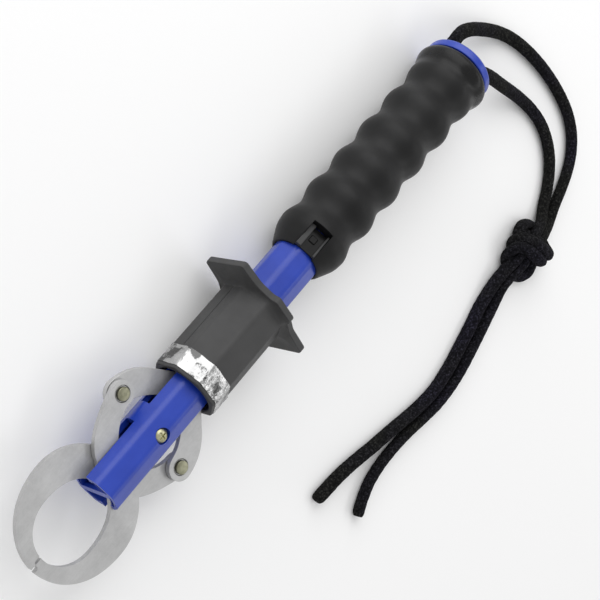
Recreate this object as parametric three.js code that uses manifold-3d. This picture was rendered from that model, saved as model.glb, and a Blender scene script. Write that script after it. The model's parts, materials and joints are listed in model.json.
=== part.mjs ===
// Fish lip gripper: a blue moulded tube with a rubber grip, a sliding trigger sleeve and two steel
// jaws that cross on a pin inside the nose. Millimetres, +Z up, jaws towards -X, handle towards +X.
// Pulling the trigger sleeve back draws the crossing pin back, which spreads the two rivets and
// opens the jaws. A coil spring pushes the sleeve forward again.
import * as THREE from 'three';
import { mergeVertices } from 'three/addons/utils/BufferGeometryUtils.js';
import Module from 'manifold-3d';

const wasm = await Module();
wasm.setup();

// ---- driving dimensions, measured from the front face of the trigger sleeve along the tool axis

const GAP = 0.3; // clearance between pieces that touch

const TUBE_RADIUS = 9.4; // corner radius of the eight-sided tube
const TUBE_BORE = 6.6;
const TUBE_NOSE = -46;
const OCTAGON_END = 64.2; // behind this the tube is round, inside the grip
const ROUND_RADIUS = 9.0;
const TUBE_END = 159.5;

const PLATE = 2.0; // jaw and link thickness
const LAYER = 0.15; // half of the space between the two layers of plates
const SLOT_HALF = LAYER + PLATE + 0.3;
const JAW_SLOT_END = -21.4;
const LINK_SLOT = [-13.6, 8.5];

const PIN_RADIUS = 2.0; // crossing pin, anchor pin and rivets
const CROSS_X = -37;
const ANCHOR_X = 1.5;
const RIVET = new THREE.Vector2(-18.6, 18.55);
const SCREW_X = -19.2;
const TRIGGER_TRAVEL = 10;

const RING_CENTRE = -55.5;
const RING_RADIUS = 22.9;
const HOOK_INNER_CENTRE = -60.5;
const HOOK_INNER_FRONT = 13.2; // semi-axes of the egg-shaped opening between the hooks
const HOOK_INNER_REAR = 17.0;
const HOOK_INNER_SIDE = 13.1;
const RAMP = [-60, -45.5]; // where a hook steps from its own layer to the middle plane
const RING_FRONT = RING_CENTRE - RING_RADIUS;

const STRAP_HALF_WIDTH = 4.0;
const STRAP = [SLOT_HALF + 0.15, SLOT_HALF + 1.75]; // lowest and highest faces of the upper strap
const YOKE_PIN_X = 20;
const DRIVE_PIN_X = 27;
const YOKE = [16, 31];
const SPRING = [34.6, 55.6];
const SPRING_RADIUS = 4.6;
const SPRING_WIRE = 0.55;
const SPRING_TURNS = 7;
const ROD_END = 61;

const SLEEVE_RADIUS = 13.3; // corner radius of the eight-sided sleeve
const SLEEVE_BORE = 10.6;
const SLEEVE_REAR = 42.6;
const FLANGE_THICKNESS = 2.8;
const WING_HALF_SPAN = 21.4;
const WING_HALF_HEIGHT = 10.1;
const TAB_HALF_WIDTH = 5;
const TAB_HEIGHT = 16.0;
const BAND = [1.0, 9.6];

const GRIP_FRONT = 64.5;
const GRIP_REAR = 170.2;
const BUMP_RADIUS = 14.0;
const VALLEY_RADIUS = 12.1;
const BUMP_PITCH = 16.88;
const FIRST_BUMP = 75.4;
const BULGE_X = 167.2;
const BULGE_RADIUS = 15.4;
const GRIP_REAR_RADIUS = 13.4;

const CAP_RADIUS = 12.4;
const CAP_RIM = 14.5; // the cap's rim covers the rubber's end
const CAP_END = 176.5;
const CORD_RADIUS = 2.5;
const CORD_HOLE = new THREE.Vector2(7.3, -3.3); // one cord hole's place on the cap; the other mirrors it
const BIGHT_X = 173.9; // the cord's bend inside the cap starts here
const BIGHT_END = 176.8;

const REST_HEIGHT = TAB_HEIGHT; // tool axis above the surface that the tool lies on
const MIDDLE_X = 49.8; // halfway along the tool

// ---- materials

const finish = (color, roughness, metalness) =>
  new THREE.MeshStandardMaterial({ color, roughness, metalness });
const BLUE = finish(0x3046b4, 0.3, 0);
const SLEEVE_GREY = finish(0x45474a, 0.6, 0);
const RUBBER = finish(0x2e2e30, 0.7, 0);
const STEEL = finish(0xb4b4b2, 0.4, 1);
const ZINC = finish(0xb0ac7c, 0.4, 1);
const FOIL = finish(0xe4e6e8, 0.25, 1);
const BLACK_PLASTIC = finish(0x222224, 0.5, 0);
const CORD_BLACK = finish(0x1b1a20, 0.9, 0);

// ---- helpers for solids

const X_AXIS = new THREE.Matrix4().makeBasis(
  new THREE.Vector3(0, 1, 0),
  new THREE.Vector3(0, 0, 1),
  new THREE.Vector3(1, 0, 0),
);

function toSolid(geometry) {
  const bare = geometry.clone();
  bare.deleteAttribute('normal');
  bare.deleteAttribute('uv');
  const merged = mergeVertices(bare, 1e-4);
  return new wasm.Manifold(
    new wasm.Mesh({
      numProp: 3,
      vertProperties: merged.attributes.position.array,
      triVerts: new Uint32Array(merged.index.array),
    }),
  );
}

function toGeometry(solid) {
  const mesh = solid.getMesh();
  const geometry = new THREE.BufferGeometry();
  geometry.setAttribute('position', new THREE.BufferAttribute(mesh.vertProperties, 3));
  geometry.setIndex(new THREE.BufferAttribute(mesh.triVerts, 1));
  geometry.computeVertexNormals();
  return geometry;
}

const cut = (base, ...tools) => tools.reduce((solid, tool) => solid.subtract(tool), base);
const join = (...pieces) => pieces.reduce((solid, piece) => solid.add(piece));

// A flat plate: an outline in X and Y between two heights.
function plate(shape, bottom, top, curveSegments = 10) {
  const geometry = new THREE.ExtrudeGeometry(shape, {
    depth: top - bottom,
    bevelEnabled: false,
    curveSegments,
  });
  geometry.translate(0, 0, bottom);
  return toSolid(geometry);
}

// A prism along the tool axis: an outline in Y and Z between two stations on X.
function prism(shape, start, end, curveSegments = 3) {
  const geometry = new THREE.ExtrudeGeometry(shape, {
    depth: end - start,
    bevelEnabled: false,
    curveSegments,
  });
  geometry.applyMatrix4(X_AXIS);
  geometry.translate(start, 0, 0);
  return toSolid(geometry);
}

function box(x, y, z) {
  const geometry = new THREE.BoxGeometry(x[1] - x[0], y[1] - y[0], z[1] - z[0]);
  geometry.translate((x[0] + x[1]) / 2, (y[0] + y[1]) / 2, (z[0] + z[1]) / 2);
  return toSolid(geometry);
}

function cylinderZ(x, y, radius, bottom, top, sides = 24) {
  const geometry = new THREE.CylinderGeometry(radius, radius, top - bottom, sides);
  geometry.rotateX(Math.PI / 2);
  geometry.translate(x, y, (bottom + top) / 2);
  return toSolid(geometry);
}

function cylinderY(x, z, radius, left, right, sides = 24) {
  const geometry = new THREE.CylinderGeometry(radius, radius, right - left, sides);
  geometry.translate(x, (left + right) / 2, z);
  return toSolid(geometry);
}

// A turned piece about the tool axis. The profile holds [x, radius] pairs.
function turned(profile, sides = 36) {
  const points = profile.map(([x, radius]) => new THREE.Vector2(radius, x));
  const geometry = new THREE.LatheGeometry(points, sides);
  geometry.rotateZ(-Math.PI / 2);
  return toSolid(geometry);
}

const cylinderX = (start, end, radius, sides = 36) =>
  turned([[start, 0], [start, radius], [end, radius], [end, 0]], sides);

// A regular polygon with rounded corners; phase turns its first corner away from +Y of the section.
function roundedPolygon(sides, radius, corner, phase) {
  const points = [];
  for (let side = 0; side < sides; side += 1) {
    const angle = phase + (2 * Math.PI * side) / sides;
    points.push(new THREE.Vector2(radius * Math.sin(angle), radius * Math.cos(angle)));
  }
  return roundedOutline(points.reverse(), corner);
}

// A closed outline through the points, each corner replaced by a curve that starts `corner` before it.
function roundedOutline(points, corner) {
  const shape = new THREE.Shape();
  points.forEach((point, index) => {
    const before = points[(index + points.length - 1) % points.length];
    const after = points[(index + 1) % points.length];
    const start = point.clone().add(before.clone().sub(point).setLength(corner));
    const end = point.clone().add(after.clone().sub(point).setLength(corner));
    if (index === 0) shape.moveTo(start.x, start.y);
    else shape.lineTo(start.x, start.y);
    shape.quadraticCurveTo(point.x, point.y, end.x, end.y);
  });
  shape.closePath();
  return shape;
}

function tube(curve, radius, steps, sides) {
  const corners = [];
  for (let side = 0; side < sides; side += 1) {
    const angle = (2 * Math.PI * side) / sides;
    corners.push(new THREE.Vector2(radius * Math.cos(angle), radius * Math.sin(angle)));
  }
  const section = new THREE.Shape(corners);
  return toSolid(new THREE.ExtrudeGeometry(section, { steps, extrudePath: curve }));
}

const mirrored = (solid) => solid.mirror([0, 1, 0]);
const flipped = (solid) => solid.rotate([180, 0, 0]);

const tool = new THREE.Group();
tool.position.set(-MIDDLE_X, 0, REST_HEIGHT);

function addPiece(name, solid, material) {
  const mesh = new THREE.Mesh(toGeometry(solid), material);
  mesh.name = name;
  tool.add(mesh);
}

// ---- body tube

const bodySection = (radius) => roundedPolygon(8, radius, 1.6, 0);

function bodyTube() {
  const rearOctagon = prism(bodySection(TUBE_RADIUS), TUBE_NOSE, OCTAGON_END);
  const round = cylinderX(OCTAGON_END - 1, TUBE_END, ROUND_RADIUS);
  const bore = cylinderX(TUBE_NOSE - 1, TUBE_END + 1, TUBE_BORE);
  const slotY = [-12, 12];
  const slotZ = [-SLOT_HALF, SLOT_HALF];
  const jawSlot = box([TUBE_NOSE - 1, JAW_SLOT_END], slotY, slotZ);
  const linkSlot = box(LINK_SLOT, slotY, slotZ);
  const pinPlay = PIN_RADIUS - 0.4 + GAP;
  const driveSlot = box(
    [DRIVE_PIN_X - pinPlay, DRIVE_PIN_X + TRIGGER_TRAVEL + pinPlay],
    slotY,
    [-pinPlay, pinPlay],
  );
  const noseBridge = box([TUBE_NOSE, TUBE_NOSE + 1.5], [-3.6, 3.6], [-7, 7]);
  const noseWebs = [-1, 1].map((side) =>
    box([TUBE_NOSE, TUBE_NOSE + 8], [-0.7, 0.7], [side * 7 - 2.1, side * 7 + 0.9]));
  const screwBosses = [-1, 1].map((side) =>
    cylinderZ(SCREW_X, 0, 3.6, Math.min(side * 4.7, side * 8), Math.max(side * 4.7, side * 8)));
  const shell = join(
    cut(join(rearOctagon, round), bore, jawSlot, linkSlot, driveSlot),
    noseBridge,
    ...noseWebs,
    ...screwBosses,
  );
  return cut(
    shell,
    cylinderZ(SCREW_X, 0, 1.6, -12, 12, 20),
    cylinderZ(SCREW_X, 0, 2.9, 7.2, 12),
    cylinderZ(SCREW_X, 0, 3.3, -12, -7.2, 6),
    cylinderZ(ANCHOR_X, 0, PIN_RADIUS + GAP, -12, 12, 24),
  );
}

function noseScrew() {
  const head = new THREE.CylinderGeometry(1.9, 2.35, 1.2, 24);
  head.rotateX(Math.PI / 2);
  head.translate(SCREW_X, 0, 8.1);
  const crossArms = [[0.3, 1.3], [1.3, 0.3]].map(([x, y]) =>
    box([SCREW_X - x, SCREW_X + x], [-y, y], [8.0, 9.5]));
  const shank = cylinderZ(SCREW_X, 0, 1.3, -8.6, 7.8, 20);
  return cut(join(toSolid(head), shank), ...crossArms);
}

const noseNut = () =>
  cut(cylinderZ(SCREW_X, 0, 2.9, -9.0, -7.5, 6), cylinderZ(SCREW_X, 0, 1.6, -10, -7, 20));

// ---- jaws: the right hook, whose tail crosses the nose to the left rivet, in the upper layer

const TAIL_START = new THREE.Vector2(-39.9, 8.5);
const TAIL_END_RADIUS = 4.6;

function hookOutline() {
  const shape = new THREE.Shape();
  shape.moveTo(HOOK_INNER_CENTRE - HOOK_INNER_FRONT, 0);
  shape.absellipse(HOOK_INNER_CENTRE, 0, HOOK_INNER_FRONT, HOOK_INNER_SIDE, Math.PI, 1.5 * Math.PI);
  shape.absellipse(HOOK_INNER_CENTRE, 0, HOOK_INNER_REAR, HOOK_INNER_SIDE, 1.5 * Math.PI, 2 * Math.PI);
  const leave = THREE.MathUtils.degToRad(105);
  const tailEnd = new THREE.Vector2(TAIL_END_RADIUS, 0).rotateAround(new THREE.Vector2(), leave);
  tailEnd.add(RIVET);
  shape.quadraticCurveTo(-42.4, 4.4, TAIL_START.x, TAIL_START.y);
  shape.bezierCurveTo(-38.2, 16.3, -26.8, 20.4, tailEnd.x, tailEnd.y);
  shape.absarc(RIVET.x, RIVET.y, TAIL_END_RADIUS, leave, -Math.PI / 2, true);
  shape.bezierCurveTo(-24.5, 13.9, -29.5, 9.6, -31.8, 4.2);
  const ringStart = THREE.MathUtils.degToRad(-6);
  const ringJoin = new THREE.Vector2(
    RING_CENTRE + RING_RADIUS * Math.cos(ringStart),
    RING_RADIUS * Math.sin(ringStart),
  );
  shape.quadraticCurveTo(-32.7, 1.2, ringJoin.x, ringJoin.y);
  shape.absarc(RING_CENTRE, 0, RING_RADIUS, ringStart, -Math.PI, true);
  shape.closePath();
  return shape;
}

// The hook leaves its layer by a straight ramp and ends in the middle plane.
function joggled(flat, drop) {
  const wide = [-40, 40];
  const tall = [-10, 10];
  const hook = flat.intersect(box([-90, RAMP[0]], wide, tall)).translate([0, 0, -drop]);
  const slope = drop / (RAMP[1] - RAMP[0]);
  const shear = new THREE.Matrix4().set(
    1, 0, 0, 0,
    0, 1, 0, 0,
    slope, 0, 1, -slope * RAMP[1],
    0, 0, 0, 1,
  );
  const strip = toGeometry(flat.intersect(box(RAMP, wide, tall)));
  const ramp = toSolid(strip.applyMatrix4(shear));
  const root = flat.intersect(box([RAMP[1], 0], wide, tall));
  return join(root, ramp, hook);
}

// The two hooks meet in a step: the right hook's tip carries a nose that fits the left hook's notch.
const TIP_STEP = [
  [-90, -1.6], [-77.0, -1.6], [-75.9, 0.9], [-70, 0.9],
];

function tipCutter(offset, side) {
  const outline = TIP_STEP.map(([x, y]) => new THREE.Vector2(x, y + offset));
  outline.push(new THREE.Vector2(-70, side * 6), new THREE.Vector2(-90, side * 6));
  return plate(new THREE.Shape(side > 0 ? outline : outline.reverse()), -5, 5);
}

function jaw() {
  const flat = plate(hookOutline(), LAYER, LAYER + PLATE);
  const holes = [
    cylinderZ(CROSS_X, 0, PIN_RADIUS + 0.65, -5, 5),
    cylinderZ(RIVET.x, RIVET.y, PIN_RADIUS + GAP, -5, 5),
  ];
  return cut(joggled(flat, LAYER + PLATE / 2), ...holes);
}

const jawRight = () => cut(jaw(), tipCutter(-GAP / 2, 1));
const jawLeft = () => cut(flipped(jaw()), tipCutter(GAP / 2, -1));

// ---- links: the left one is in the lower layer and carries the left rivet

const LINK_CENTRE = new THREE.Vector2(-20.5, 4);
const LINK_END_RADIUS = 5;
const LINK_ANCHOR_RADIUS = 4.5;

function linkOutline() {
  const end = RIVET.clone().sub(LINK_CENTRE);
  const outer = end.length() + LINK_END_RADIUS;
  const leave = THREE.MathUtils.degToRad(37);
  const shape = new THREE.Shape();
  shape.absarc(RIVET.x, RIVET.y, LINK_END_RADIUS, 1.45 * Math.PI, end.angle(), true);
  shape.absarc(LINK_CENTRE.x, LINK_CENTRE.y, outer, end.angle(), leave, true);
  shape.absarc(ANCHOR_X, 0, LINK_ANCHOR_RADIUS, leave, 1.25 * Math.PI, true);
  shape.bezierCurveTo(-6.5, 5.5, -12.5, 11.8, RIVET.x + 1.5, RIVET.y - 5.6);
  shape.closePath();
  return shape;
}

function linkRight() {
  const holes = [
    cylinderZ(ANCHOR_X, 0, PIN_RADIUS + GAP, -5, 5),
    cylinderZ(RIVET.x, RIVET.y, PIN_RADIUS + GAP, -5, 5),
  ];
  return mirrored(cut(plate(linkOutline(), LAYER, LAYER + PLATE), ...holes));
}

const linkLeft = () => flipped(linkRight());

// A rivet with two low heads that hold a jaw and a link together.
function rivet(side) {
  const x = RIVET.x;
  const y = side * RIVET.y;
  const face = LAYER + PLATE + GAP;
  return join(
    cylinderZ(x, y, PIN_RADIUS, -face - 0.1, face + 0.1),
    cylinderZ(x, y, 2.5, face, face + 0.8),
    cylinderZ(x, y, 2.5, -face - 0.8, -face),
  );
}

// ---- drive train inside the tube

function strap() {
  const shape = new THREE.Shape();
  shape.absarc(CROSS_X, 0, STRAP_HALF_WIDTH, Math.PI / 2, 1.5 * Math.PI, false);
  shape.lineTo(YOKE[1], -STRAP_HALF_WIDTH);
  shape.lineTo(YOKE[1], STRAP_HALF_WIDTH);
  shape.closePath();
  const flat = plate(shape, STRAP[0], STRAP[1]);
  const clearance = (x, half) =>
    box([x - TRIGGER_TRAVEL - half, x + half], [-half, half], [-6, 6]);
  return cut(
    flat,
    cylinderZ(CROSS_X, 0, PIN_RADIUS + GAP, -6, 6),
    clearance(SCREW_X, 1.75),
    clearance(ANCHOR_X, PIN_RADIUS + GAP),
    cylinderZ(YOKE_PIN_X, 0, 1.5 + GAP, -6, 6, 20),
  );
}

const crossPin = () => cylinderZ(CROSS_X, 0, PIN_RADIUS, -STRAP[1] - 0.3, STRAP[1] + 0.3);
const anchorPin = () => cylinderZ(ANCHOR_X, 0, PIN_RADIUS, -8.7, 8.7);
const yokePin = () => cylinderZ(YOKE_PIN_X, 0, 1.5, -STRAP[1] - 0.2, STRAP[1] + 0.2, 20);
const drivePin = () => cylinderY(DRIVE_PIN_X, 0, 1.6, -11.3, 11.3, 24);

function yoke() {
  const half = STRAP[0] - GAP;
  return cut(
    join(
      box(YOKE, [-4.6, 4.6], [-half, half]),
      cylinderX(YOKE[1] + GAP, YOKE[1] + 3, TUBE_BORE - GAP),
      cylinderX(YOKE[1] - 1, ROD_END, 2.0, 24),
    ),
    cylinderZ(YOKE_PIN_X, 0, 1.5 + GAP, -6, 6, 20),
    cylinderY(DRIVE_PIN_X, 0, 1.6 + GAP, -8, 8, 24),
  );
}

function returnSpring() {
  const points = [];
  const perTurn = 10;
  for (let step = 0; step <= SPRING_TURNS * perTurn; step += 1) {
    const turn = (2 * Math.PI * step) / perTurn;
    const along = step / (SPRING_TURNS * perTurn);
    points.push(new THREE.Vector3(
      THREE.MathUtils.lerp(SPRING[0] + SPRING_WIRE, SPRING[1] - SPRING_WIRE, along),
      SPRING_RADIUS * Math.cos(turn),
      SPRING_RADIUS * Math.sin(turn),
    ));
  }
  return tube(new THREE.CatmullRomCurve3(points), SPRING_WIRE, SPRING_TURNS * perTurn, 6);
}

const springSeat = () =>
  cut(cylinderX(SPRING[1] + GAP, SPRING[1] + 3.3, TUBE_BORE - GAP), cylinderX(50, 70, 2.4, 24));

// ---- trigger sleeve with its finger flange

function flangeOutline() {
  const w = WING_HALF_SPAN;
  const h = WING_HALF_HEIGHT;
  const corners = [[w, h], [11.5, 10.9], [TAB_HALF_WIDTH + 1, 13.6], [TAB_HALF_WIDTH, TAB_HEIGHT]];
  const quarter = corners.map(([y, z]) => new THREE.Vector2(y, z));
  const flip = (points, sy, sz) => points.map((p) => new THREE.Vector2(sy * p.x, sz * p.y));
  const outline = [
    ...quarter,
    ...flip(quarter, -1, 1).reverse(),
    ...flip(quarter, -1, -1),
    ...flip(quarter, 1, -1).reverse(),
  ];
  return roundedOutline(outline, 0.9);
}

function triggerSleeve() {
  const flat = Math.PI / 8;
  const barrel = prism(roundedPolygon(8, SLEEVE_RADIUS, 0.5, flat), 0, SLEEVE_REAR - 0.5);
  const flange = prism(flangeOutline(), SLEEVE_REAR - FLANGE_THICKNESS, SLEEVE_REAR);
  const pinHole = cylinderY(DRIVE_PIN_X, 0, 1.6 + GAP, -11.6, 11.6, 24);
  return cut(
    join(barrel, flange),
    cylinderX(-1, 22, SLEEVE_BORE),
    prism(bodySection(TUBE_RADIUS + 0.45), 21, SLEEVE_REAR + 1),
    pinHole,
  );
}

function labelBand() {
  const flat = Math.PI / 8;
  const outer = prism(roundedPolygon(8, SLEEVE_RADIUS + 0.75, 0.5, flat), BAND[0], BAND[1]);
  const inner = prism(roundedPolygon(8, SLEEVE_RADIUS + GAP, 0.5, flat), BAND[0] - 1, BAND[1] + 1);
  return cut(outer, inner);
}

// ---- grip, cap and lanyard

const KEY_ANGLE = 31.5; // the key and its notch sit this far round from the top, towards the left

function gripProfile() {
  const profile = [[GRIP_FRONT, 9.95], [GRIP_FRONT + 1.2, 10.6]];
  const swing = (BUMP_RADIUS - VALLEY_RADIUS) / 2;
  const middle = (BUMP_RADIUS + VALLEY_RADIUS) / 2;
  profile.push([69, 12.3], [72, 13.5]);
  for (let sixth = 0; sixth <= 31; sixth += 1) {
    const x = FIRST_BUMP + (sixth * BUMP_PITCH) / 6;
    profile.push([x, middle + swing * Math.cos((2 * Math.PI * sixth) / 6)]);
  }
  profile.push(
    [165.2, 15.0],
    [BULGE_X, BULGE_RADIUS],
    [BULGE_X + 1.8, 14.9],
    [GRIP_REAR - 0.3, 14.0],
    [GRIP_REAR, GRIP_REAR_RADIUS],
  );
  return profile;
}

function keyBlock(x, halfWidth, radii) {
  const geometry = new THREE.BoxGeometry(x[1] - x[0], 2 * halfWidth, radii[1] - radii[0]);
  geometry.translate((x[0] + x[1]) / 2, 0, (radii[0] + radii[1]) / 2);
  return toSolid(geometry.rotateX(-THREE.MathUtils.degToRad(KEY_ANGLE)));
}

function grip() {
  const outer = gripProfile();
  const innerRear = CAP_RADIUS + GAP;
  const profile = [
    ...outer,
    [GRIP_REAR, innerRear],
    [159.7, innerRear],
    [159.7, ROUND_RADIUS + GAP],
    [GRIP_FRONT, ROUND_RADIUS + GAP],
    outer[0],
  ];
  return cut(turned(profile), keyBlock([GRIP_FRONT - 1, 75], 4.3, [5, 20]));
}

function gripKey() {
  const base = keyBlock([GRIP_FRONT + GAP, 75 - GAP], 4.0, [8, 10.8]);
  const lug = keyBlock([68.3, 72.3], 1.6, [10, 11.9]);
  return cut(join(base, lug), cylinderX(60, 80, ROUND_RADIUS + GAP));
}

function endCap() {
  const wall = 1.5;
  const profile = [
    [CAP_END - 1.8, 0],
    [CAP_END - 2.2, 5.5],
    [CAP_END - 3.2, 9.3],
    [CAP_END - 4.6, CAP_RADIUS - wall],
    [162, CAP_RADIUS - wall],
    [162, 4.8],
    [150, 4.8],
    [150, TUBE_BORE - GAP],
    [TUBE_END + GAP, TUBE_BORE - GAP],
    [TUBE_END + GAP, CAP_RADIUS],
    [GRIP_REAR + GAP, CAP_RADIUS],
    [GRIP_REAR + GAP, CAP_RIM - 0.4],
    [GRIP_REAR + 0.9, CAP_RIM],
    [GRIP_REAR + 2.8, CAP_RIM],
    [GRIP_REAR + 3.7, CAP_RIM - 0.4],
    [GRIP_REAR + 4.6, CAP_RIM - 1.5],
    [CAP_END - 0.8, 10],
    [CAP_END - 0.3, 6],
    [CAP_END - 0.1, 3],
    [CAP_END, 0],
  ];
  const holes = [1, -1].map((side) => {
    const hole = new THREE.CylinderGeometry(CORD_RADIUS + GAP, CORD_RADIUS + GAP, 12, 24);
    hole.rotateZ(Math.PI / 2);
    hole.translate(CAP_END - 2, side * CORD_HOLE.x, side * CORD_HOLE.y);
    return toSolid(hole);
  });
  return cut(turned(profile), ...holes);
}

// The lanyard is one cord: a bend inside the cap, two legs, a knot of both legs, and two tails.
function lanyardBight() {
  const offset = CORD_HOLE.length();
  const across = new THREE.Vector3(0, CORD_HOLE.x, CORD_HOLE.y).normalize();
  const points = [new THREE.Vector3(BIGHT_END, 0, 0).addScaledVector(across, offset)];
  for (let step = 0; step <= 12; step += 1) {
    const angle = (Math.PI * step) / 12;
    const point = new THREE.Vector3(BIGHT_X - offset * Math.sin(angle), 0, 0);
    points.push(point.addScaledVector(across, offset * Math.cos(angle)));
  }
  points.push(new THREE.Vector3(BIGHT_END, 0, 0).addScaledVector(across, -offset));
  return tube(new THREE.CatmullRomCurve3(points), CORD_RADIUS, 20, 10);
}

// Routes of the free cord, in the part's own frame. The surface is at height 0.
const LEG_LEFT = [
  [127.3, 7.3, 12.7], [131, 7.6, 12.7], [135, 7.5, 12.3], [139.2, 6.3, 11.5], [145, 2.9, 9.7],
  [151.5, -2, 7.4], [158.3, -7.8, 4.9], [164.2, -13.6, 3.1], [168.6, -19.5, 2.55],
  [172.2, -26.3, 2.55], [175.4, -34.4, 2.55], [178, -43.5, 2.55], [179.6, -52.5, 2.55],
  [180.2, -61.5, 2.55], [179.6, -69.5, 2.55], [177.2, -77, 2.55], [173, -83.2, 2.55],
  [167, -88.2, 2.55], [158.5, -92.4, 2.55], [149.5, -95.6, 2.55], [141.5, -99.2, 2.55],
];
const LEG_RIGHT = [
  [127.4, -7.3, 19.3], [130, -7.5, 19.3], [133.2, -10.8, 18.4], [137.2, -15.8, 16.2],
  [141.4, -21.2, 13.4], [145.6, -26.6, 10.6], [150, -32.2, 7.8], [154.4, -38.2, 5.2],
  [158.3, -44.6, 3.3], [161.2, -51.4, 2.55], [162.6, -59, 2.55], [162.2, -67, 2.55],
  [159.6, -74.8, 2.55], [155, -81.4, 2.55], [149, -86.8, 2.55], [142.6, -91, 2.55],
  [137.6, -93.6, 2.55],
];
const TAIL_LEFT = [
  [96, -95, 2.55], [87.5, -96.6, 2.55], [76.5, -99.4, 2.55], [66.8, -101.6, 2.55],
  [56, -103.8, 2.55], [45, -104.8, 2.55], [34.6, -103.6, 2.55], [25, -101.4, 2.55],
  [14.5, -98.7, 2.55], [4.9, -96.4, 2.55], [-3, -94.2, 2.55], [-10.5, -92.4, 2.55],
  [-18, -91.2, 2.55], [-28, -90.2, 2.55],
];
const TAIL_RIGHT = [
  [99, -101, 2.55], [91, -103, 2.55], [82, -105.3, 2.55], [72.5, -107.6, 2.55],
  [62.5, -109.8, 2.55], [52.5, -111, 2.55], [42.5, -110.9, 2.55], [32.5, -109.2, 2.55],
  [22, -107, 2.55], [12, -105.8, 2.55], [3.6, -105.6, 2.55], [-4, -106.5, 2.55],
  [-9.4, -108.3, 2.55], [-14, -110.5, 2.55], [-17.6, -112.8, 2.55],
];
const KNOT_CENTRE = new THREE.Vector3(118.4, -96.6, 7);
const KNOT_SIZE = new THREE.Vector3(17.6, 10.6, 6.9); // semi-axes

function freeCord(route) {
  const points = route.map(([x, y, z]) => new THREE.Vector3(x + MIDDLE_X, y, z - REST_HEIGHT));
  const curve = new THREE.CatmullRomCurve3(points);
  return tube(curve, CORD_RADIUS, Math.round(curve.getLength() / 6), 8);
}

function lanyardKnot() {
  const geometry = new THREE.SphereGeometry(1, 16, 10);
  geometry.scale(KNOT_SIZE.x, KNOT_SIZE.y, KNOT_SIZE.z);
  geometry.rotateZ(THREE.MathUtils.degToRad(12));
  geometry.translate(KNOT_CENTRE.x + MIDDLE_X, KNOT_CENTRE.y, KNOT_CENTRE.z - REST_HEIGHT);
  return toSolid(geometry);
}

// ---- assembly

addPiece('body_tube', bodyTube(), BLUE);
addPiece('nose_screw', noseScrew(), ZINC);
addPiece('nose_nut', noseNut(), ZINC);
addPiece('jaw_right', jawRight(), STEEL);
addPiece('jaw_left', jawLeft(), STEEL);
addPiece('link_left', linkLeft(), STEEL);
addPiece('link_right', linkRight(), STEEL);
addPiece('rivet_left', rivet(1), ZINC);
addPiece('rivet_right', rivet(-1), ZINC);
addPiece('anchor_pin', anchorPin(), ZINC);
addPiece('cross_pin', crossPin(), ZINC);
addPiece('strap_upper', strap(), STEEL);
addPiece('strap_lower', flipped(strap()), STEEL);
addPiece('yoke_pin', yokePin(), ZINC);
addPiece('pull_yoke', yoke(), BLACK_PLASTIC);
addPiece('drive_pin', drivePin(), ZINC);
addPiece('return_spring', returnSpring(), STEEL);
addPiece('spring_seat', springSeat(), BLACK_PLASTIC);
addPiece('trigger_sleeve', triggerSleeve(), SLEEVE_GREY);
addPiece('label_band', labelBand(), FOIL);
addPiece('grip', grip(), RUBBER);
addPiece('grip_key', gripKey(), BLACK_PLASTIC);
addPiece('end_cap', endCap(), BLUE);
addPiece('lanyard_bight', lanyardBight(), CORD_BLACK);
addPiece('lanyard_leg_left', freeCord(LEG_LEFT), CORD_BLACK);
addPiece('lanyard_leg_right', freeCord(LEG_RIGHT), CORD_BLACK);
addPiece('lanyard_knot', lanyardKnot(), CORD_BLACK);
addPiece('lanyard_tail_left', freeCord(TAIL_LEFT), CORD_BLACK);
addPiece('lanyard_tail_right', freeCord(TAIL_RIGHT), CORD_BLACK);

export default tool;
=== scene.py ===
import json
from math import atan2, cos, degrees, pi, radians, sin

import bmesh
import bpy
from mathutils import Matrix, Vector, noise

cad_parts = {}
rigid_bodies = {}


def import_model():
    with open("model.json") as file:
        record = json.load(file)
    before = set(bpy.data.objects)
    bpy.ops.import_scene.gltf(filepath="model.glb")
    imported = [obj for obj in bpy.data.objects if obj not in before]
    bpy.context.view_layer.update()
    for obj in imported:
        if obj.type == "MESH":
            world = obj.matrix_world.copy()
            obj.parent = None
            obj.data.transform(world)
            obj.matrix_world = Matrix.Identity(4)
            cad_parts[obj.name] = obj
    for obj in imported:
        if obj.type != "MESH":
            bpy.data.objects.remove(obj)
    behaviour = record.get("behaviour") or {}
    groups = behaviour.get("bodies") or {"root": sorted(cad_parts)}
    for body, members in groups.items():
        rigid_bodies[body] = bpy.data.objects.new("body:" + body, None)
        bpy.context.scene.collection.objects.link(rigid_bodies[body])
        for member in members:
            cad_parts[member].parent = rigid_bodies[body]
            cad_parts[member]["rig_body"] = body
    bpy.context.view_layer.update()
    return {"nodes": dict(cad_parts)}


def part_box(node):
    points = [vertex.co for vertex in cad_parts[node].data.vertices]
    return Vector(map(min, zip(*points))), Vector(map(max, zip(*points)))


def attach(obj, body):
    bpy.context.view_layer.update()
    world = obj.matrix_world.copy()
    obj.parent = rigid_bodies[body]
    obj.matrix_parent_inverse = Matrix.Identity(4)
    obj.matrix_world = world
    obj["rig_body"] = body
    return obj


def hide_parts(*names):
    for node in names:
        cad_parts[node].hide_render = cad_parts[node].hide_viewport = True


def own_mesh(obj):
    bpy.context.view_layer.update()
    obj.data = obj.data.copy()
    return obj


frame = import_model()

# The looks of a fish lip gripper. Lengths are millimetres in the tool's own frame unless they say
# otherwise: X runs along the tool's axis from the front of the trigger sleeve towards the handle,
# and Z points out of the jaws' plane. `place` turns them into the row frame, in metres.

MM = 0.001
SLEEVE_LOW, SLEEVE_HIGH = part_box("trigger_sleeve")
TOOL_ORIGIN = Vector((SLEEVE_LOW.x, 0.0, (SLEEVE_LOW.z + SLEEVE_HIGH.z) / 2))


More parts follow.
